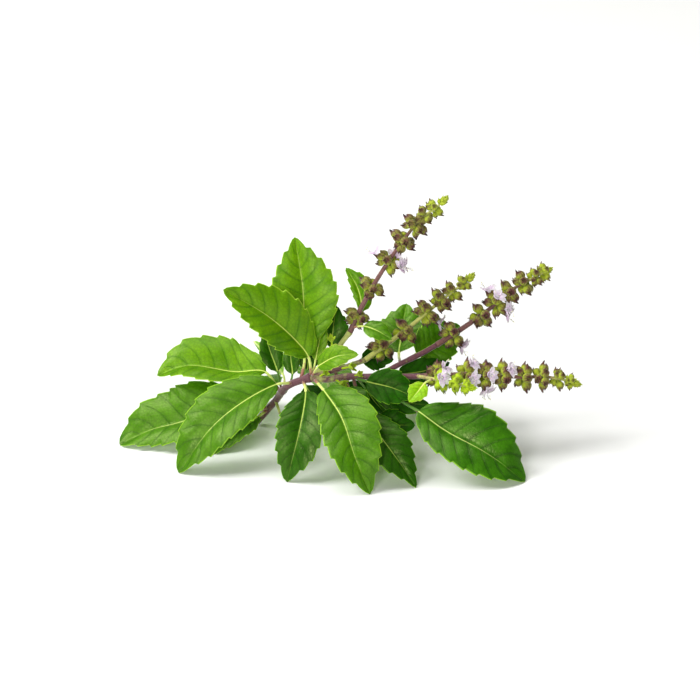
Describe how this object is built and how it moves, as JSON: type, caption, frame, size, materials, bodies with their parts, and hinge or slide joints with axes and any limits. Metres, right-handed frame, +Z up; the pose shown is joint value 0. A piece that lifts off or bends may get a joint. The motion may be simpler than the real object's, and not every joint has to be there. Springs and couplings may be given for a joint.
{
  "type": "holy basil sprig",
  "caption": "Cut, forking holy basil sprig with toothed leaves and slender flower spikes, laid down to rest on its leaf tips and cut end.",
  "frame": {"origin": "middle of the sprig's footprint, on the surface that it lies on", "axes": "+Z up, +X towards the tip of the lower right flower spike, +Y away from the front leaves"},
  "size_m": [0.17, 0.0822, 0.0948],
  "materials": {
    "leaf": "fresh green blade, satin, with pale veins",
    "young leaf": "light yellow-green blade, satin",
    "stem": "purple-brown, finely hairy",
    "flower spike": "green and brown-purple calyces with white-lilac flowers, matt",
    "young spike": "lime-green calyces, matt"
  },
  "bodies": {
    "root": {"leaf_back_dark_1": "leaf", "leaf_back_dark_2": "leaf", "leaf_back_dark_3": "leaf", "leaf_back_left": "leaf", "leaf_back_middle": "leaf", "leaf_back_right": "leaf", "leaf_behind_hub": "leaf", "leaf_behind_top_spike": "leaf", "leaf_big_right": "leaf", "leaf_dark_low": "leaf", "leaf_dark_under": "leaf", "leaf_far_left": "leaf", "leaf_fill_hub": "leaf", "leaf_fill_low": "leaf", "leaf_fill_right": "leaf", "leaf_front_left": "leaf", "leaf_front_main": "leaf", "leaf_front_middle": "leaf", "leaf_front_right": "leaf", "leaf_left": "leaf", "leaf_lime": "young leaf", "leaf_narrow": "leaf", "leaf_on_top_spike": "leaf", "leaf_pale": "young leaf", "leaf_right_middle": "leaf", "leaf_shadow_left": "leaf", "leaf_shadow_middle": "leaf", "leaf_shadow_right": "leaf", "leaf_small_behind": "leaf", "leaf_small_left": "leaf", "leaf_small_middle": "leaf", "leaf_top": "leaf", "leaf_under_left": "leaf", "leaf_upper_left": "leaf", "leaf_young": "young leaf", "spike_lower_right": "flower spike", "spike_middle": "flower spike", "spike_top": "flower spike", "spike_upper_right": "flower spike", "spike_young": "young spike", "stem": "stem"}
  },
  "joints": []
}
